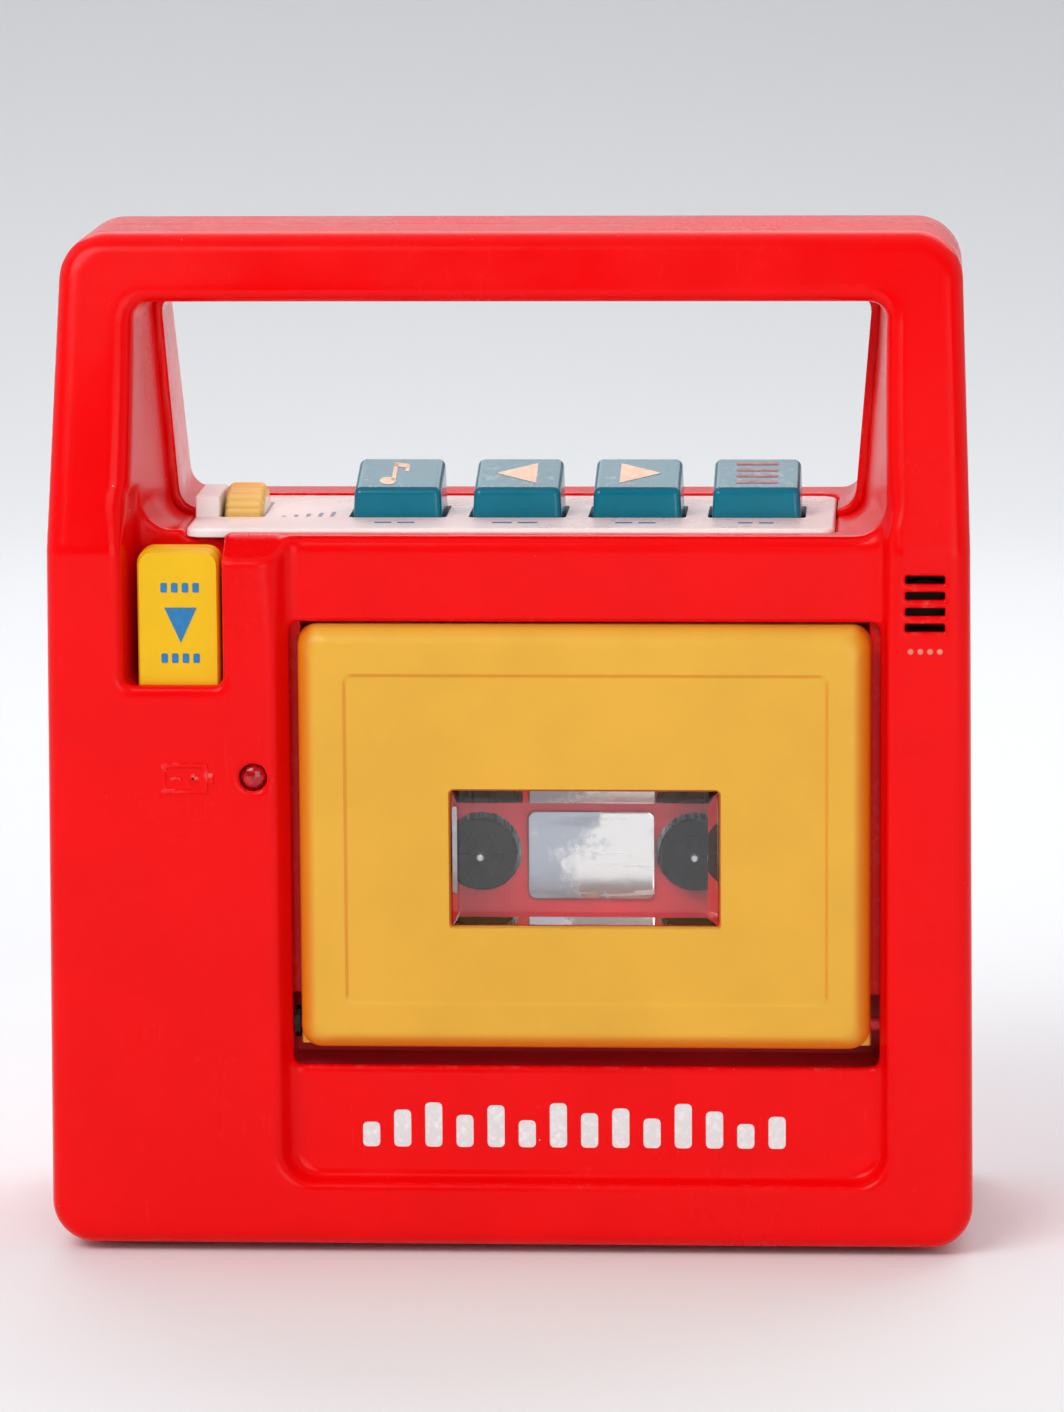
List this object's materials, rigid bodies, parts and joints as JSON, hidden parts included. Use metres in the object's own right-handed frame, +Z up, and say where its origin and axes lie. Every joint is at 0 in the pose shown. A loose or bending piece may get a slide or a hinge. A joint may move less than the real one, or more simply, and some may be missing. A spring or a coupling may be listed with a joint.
{
  "type": "toy cassette tape recorder",
  "caption": "Red toy cassette tape recorder with a built-in carrying handle, a yellow cassette door with a clear window, piano keys, a volume wheel and an eject button.",
  "frame": {"origin": "on the floor under the middle of the case", "axes": "+Z up, +Y from the cassette door to the speaker side, +X to the right seen from the front"},
  "size_m": [0.1832, 0.0764, 0.2018],
  "materials": {
    "case_red": "satin moulded plastic, lightly scuffed",
    "well_red": "satin moulded plastic",
    "door_yellow": "fine-grained moulded plastic with glossy rim",
    "button_yellow": "satin moulded plastic",
    "key_teal": "satin moulded plastic with printed signs",
    "plate_white": "satin moulded plastic",
    "window_clear": "clear moulded plastic",
    "lamp_red": "translucent red lens",
    "mirror_silver": "bright metal",
    "black_plastic": "moulded plastic",
    "steel": "plated sheet and wire",
    "brass": "turned",
    "rubber": "matt",
    "cone_paper": "pressed paper",
    "board_green": "lacquered laminate",
    "cell_skin": "printed sleeve"
  },
  "bodies": {
    "case": {"front_shell": "case_red", "rear_shell": "case_red", "key_plate": "plate_white", "cassette_well": "well_red", "reflector_plate": "mirror_silver", "lamp_lens": "lamp_red", "mic_capsule": "steel", "speaker_frame": "steel", "speaker_cone": "cone_paper", "circuit_board": "board_green", "volume_pot": "steel", "mechanism_chassis": "steel", "motor": "steel", "drive_belt": "rubber", "door_hinge_pin_left": "well_red", "door_hinge_pin_right": "well_red", "door_spring": "steel", "eject_spring": "steel", "play_key_spring": "steel", "forward_key_spring": "steel", "rewind_key_spring": "steel", "record_key_spring": "steel", "battery_1": "cell_skin", "battery_2": "cell_skin", "battery_3": "cell_skin", "battery_4": "cell_skin", "battery_contact_left": "steel", "battery_contact_right": "steel", "case_screw_1": "steel", "case_screw_2": "steel", "case_screw_3": "steel", "case_screw_4": "steel", "foot_1": "rubber", "foot_2": "rubber", "foot_3": "rubber", "foot_4": "rubber"},
    "door": {"door": "door_yellow", "door_window": "window_clear"},
    "play_key": {"play_key": "key_teal"},
    "forward_key": {"forward_key": "key_teal"},
    "rewind_key": {"rewind_key": "key_teal"},
    "record_key": {"record_key": "key_teal"},
    "eject_button": {"eject_button": "button_yellow"},
    "volume_wheel": {"volume_wheel": "button_yellow"},
    "head_slide": {"head_slide": "steel", "play_head": "mirror_silver", "erase_head": "black_plastic", "pinch_arm": "steel"},
    "pinch_roller": {"pinch_roller": "rubber"},
    "flywheel": {"flywheel": "brass"},
    "motor_pulley": {"motor_pulley": "brass"},
    "idler_wheel": {"idler_wheel": "rubber"},
    "takeup_spindle": {"takeup_spindle": "black_plastic"},
    "supply_spindle": {"supply_spindle": "black_plastic"},
    "battery_cover": {"battery_cover": "case_red"},
    "battery_cover_screw": {"battery_cover_screw": "steel"}
  },
  "joints": [
    {"name": "door_swing", "type": "hinge", "parent": "case", "child": "door", "pos_m": [0.01485, -0.029, 0.0455], "axis": [1, 0, 0], "range_deg": [0, 35]},
    {"name": "play_press", "type": "slide", "parent": "case", "child": "play_key", "axis": [0, 0, -1], "range_m": [0, 0.0045], "stiffness_N_per_m": 300, "deforming": ["play_key_spring"]},
    {"name": "forward_press", "type": "slide", "parent": "case", "child": "forward_key", "axis": [0, 0, -1], "range_m": [0, 0.0045], "stiffness_N_per_m": 300, "deforming": ["forward_key_spring"]},
    {"name": "rewind_press", "type": "slide", "parent": "case", "child": "rewind_key", "axis": [0, 0, -1], "range_m": [0, 0.0045], "stiffness_N_per_m": 300, "deforming": ["rewind_key_spring"]},
    {"name": "record_press", "type": "slide", "parent": "case", "child": "record_key", "axis": [0, 0, -1], "range_m": [0, 0.0045], "stiffness_N_per_m": 300, "deforming": ["record_key_spring"]},
    {"name": "eject_press", "type": "slide", "parent": "case", "child": "eject_button", "axis": [0, 0, -1], "range_m": [0, 0.006], "stiffness_N_per_m": 300, "deforming": ["eject_spring"]},
    {"name": "volume_turn", "type": "hinge", "parent": "case", "child": "volume_wheel", "pos_m": [-0.05435, 0.002, 0.1375], "axis": [1, 0, 0], "range_deg": [-135, 135]},
    {"name": "head_slide_move", "type": "slide", "parent": "case", "child": "head_slide", "axis": [0, 0, -1], "range_m": [0, 0.0045]},
    {"name": "pinch_roller_spin", "type": "hinge", "parent": "head_slide", "child": "pinch_roller", "pos_m": [-0.008, -0.021, 0.1197], "axis": [0, 1, 0], "continuous": true},
    {"name": "flywheel_spin", "type": "hinge", "parent": "case", "child": "flywheel", "pos_m": [-0.008, 0, 0.1075], "axis": [0, 1, 0], "continuous": true},
    {"name": "motor_pulley_spin", "type": "hinge", "parent": "case", "child": "motor_pulley", "pos_m": [0.052, 0, 0.0895], "axis": [0, 1, 0], "continuous": true},
    {"name": "idler_spin", "type": "hinge", "parent": "case", "child": "idler_wheel", "pos_m": [-0.00724, -0.005, 0.09415], "axis": [0, 1, 0], "continuous": true},
    {"name": "takeup_spin", "type": "hinge", "parent": "case", "child": "takeup_spindle", "pos_m": [-0.0063, -0.01, 0.0778], "axis": [0, 1, 0], "continuous": true},
    {"name": "supply_spin", "type": "hinge", "parent": "case", "child": "supply_spindle", "pos_m": [0.0363, -0.01, 0.0778], "axis": [0, 1, 0], "continuous": true},
    {"name": "battery_cover_pull", "type": "slide", "parent": "case", "child": "battery_cover", "axis": [0, 1, 0], "range_m": [0, 0.03]},
    {"name": "cover_screw_turn", "type": "hinge", "parent": "battery_cover", "child": "battery_cover_screw", "pos_m": [0, 0.035, 0.0328], "axis": [0, 1, 0], "continuous": true}
  ],
  "couplings": [
    {"joint": "head_slide_move", "follows": "play_press", "ratio": 1},
    {"joint": "motor_pulley_spin", "follows": "flywheel_spin", "ratio": 6},
    {"joint": "idler_spin", "follows": "flywheel_spin", "ratio": -0.8481},
    {"joint": "takeup_spin", "follows": "flywheel_spin", "ratio": 0.6667}
  ]
}
